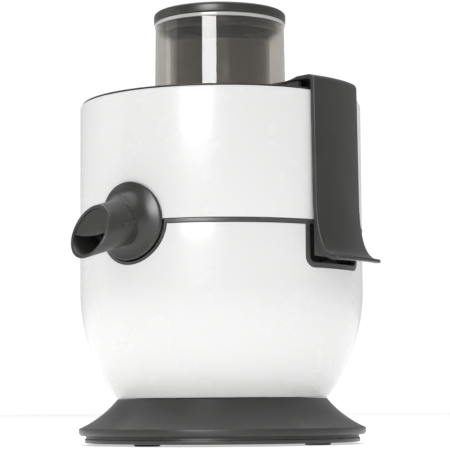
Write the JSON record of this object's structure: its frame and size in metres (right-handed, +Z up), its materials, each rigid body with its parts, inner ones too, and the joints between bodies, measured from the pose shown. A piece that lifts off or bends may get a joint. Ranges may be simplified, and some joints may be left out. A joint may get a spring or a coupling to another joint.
{
  "type": "centrifugal juicer",
  "caption": "Upright centrifugal juicer with a round white body, wide smoked feed tube and pusher, long flared latch lever, turning spout and flared dark foot.",
  "frame": {"origin": "middle of the footprint, spout and latch included, on the surface that the rubber feet stand on; the body axis stands 3.9 mm to the -X side of it and 23.0 mm to the +Y side", "axes": "+Z up along the motor shaft, -Y the way the spout points, +X the side with the latch, -X the side with the control knob"},
  "size_m": [0.234, 0.248, 0.3072],
  "materials": {
    "white_plastic": "smooth white moulded ABS, semi-gloss",
    "grey_plastic": "dark grey moulded plastic, satin",
    "black_plastic": "near-black moulded plastic, satin",
    "milky_plastic": "milky polypropylene, smooth",
    "smoked_clear": "lightly smoked clear copolyester, polished",
    "smoked_dark": "dark smoked translucent plastic, polished",
    "rubber": "matt black rubber",
    "steel": "stainless steel, fine brushed",
    "lamination": "varnished electrical steel sheets",
    "copper": "enamelled copper",
    "cast_aluminium": "die-cast, dull"
  },
  "bodies": {
    "root": {"base_skirt": "grey_plastic", "bottom_cover": "black_plastic", "rubber_foot_1": "rubber", "rubber_foot_2": "rubber", "rubber_foot_3": "rubber", "rubber_foot_4": "rubber", "cover_screw_1": "steel", "cover_screw_2": "steel", "cover_screw_3": "steel", "cover_screw_4": "steel", "lower_shell": "white_plastic", "rim_trim": "black_plastic", "latch_pocket": "black_plastic", "top_deck": "grey_plastic", "stator_stack": "lamination", "motor_top_bracket": "cast_aluminium", "motor_bottom_bracket": "cast_aluminium", "field_coil_top": "copper", "field_coil_bottom": "copper", "upper_bearing": "steel", "lower_bearing": "steel", "brush_holder_left": "black_plastic", "brush_holder_right": "black_plastic", "motor_damper_1": "rubber", "motor_damper_2": "rubber", "motor_damper_3": "rubber", "shaft_seal": "rubber", "rotary_switch": "black_plastic", "interlock_switch": "black_plastic", "mains_inlet_gland": "rubber"},
    "knob": {"control_knob": "grey_plastic"},
    "interlock": {"interlock_plunger": "grey_plastic"},
    "rotor": {"motor_shaft": "steel", "armature": "lamination", "commutator": "copper", "cooling_fan": "black_plastic", "drive_coupling": "steel"},
    "bowl": {"upper_shell": "white_plastic", "juice_bowl": "milky_plastic", "spout_gasket": "rubber", "pulp_tub": "milky_plastic", "spout_flange": "grey_plastic"},
    "nozzle": {"spout_nozzle": "grey_plastic"},
    "basket": {"basket_hub": "grey_plastic", "cutter_disc": "steel", "filter_mesh": "steel", "basket_rim": "grey_plastic"},
    "lid": {"lid": "black_plastic", "lid_gasket": "rubber", "latch_pin": "steel", "feed_tube": "smoked_clear"},
    "latch": {"latch_lever": "grey_plastic"},
    "pusher": {"pusher_cup": "smoked_dark", "pusher_cap": "grey_plastic"}
  },
  "joints": [
    {"name": "rotor_spin", "type": "hinge", "parent": "root", "child": "rotor", "pos_m": [-0.00386, 0.02295, 0.1], "axis": [0, 0, 1], "continuous": true},
    {"name": "control_knob_turn", "type": "hinge", "parent": "root", "child": "knob", "pos_m": [-0.10226, 0.02295, 0.088], "axis": [-1, 0, 0], "range_deg": [-45, 100]},
    {"name": "interlock_press", "type": "slide", "parent": "root", "child": "interlock", "axis": [-1, 0, 0], "range_m": [0, 0.0025], "stiffness_N_per_m": 300, "springref_m": -0.002},
    {"name": "bowl_lift", "type": "slide", "parent": "root", "child": "bowl", "axis": [0, 0, 1], "range_m": [0, 0.06]},
    {"name": "basket_spin", "type": "hinge", "parent": "bowl", "child": "basket", "pos_m": [-0.00386, 0.02295, 0.17], "axis": [0, 0, 1], "continuous": true},
    {"name": "spout_turn", "type": "hinge", "parent": "bowl", "child": "nozzle", "pos_m": [-0.00386, -0.08935, 0.14806], "axis": [0, -0.9659, -0.2588], "range_deg": [0, 180]},
    {"name": "lid_lift", "type": "slide", "parent": "bowl", "child": "lid", "axis": [0, 0, 1], "range_m": [0, 0.09]},
    {"name": "latch_swing", "type": "hinge", "parent": "lid", "child": "latch", "pos_m": [0.05613, 0.02295, 0.2384], "axis": [0, -1, 0], "range_deg": [-0.7, 90]},
    {"name": "pusher_slide", "type": "slide", "parent": "lid", "child": "pusher", "axis": [0, 0, 1], "range_m": [0, 0.125]}
  ],
  "couplings": [
    {"joint": "basket_spin", "follows": "rotor_spin", "ratio": 1}
  ]
}
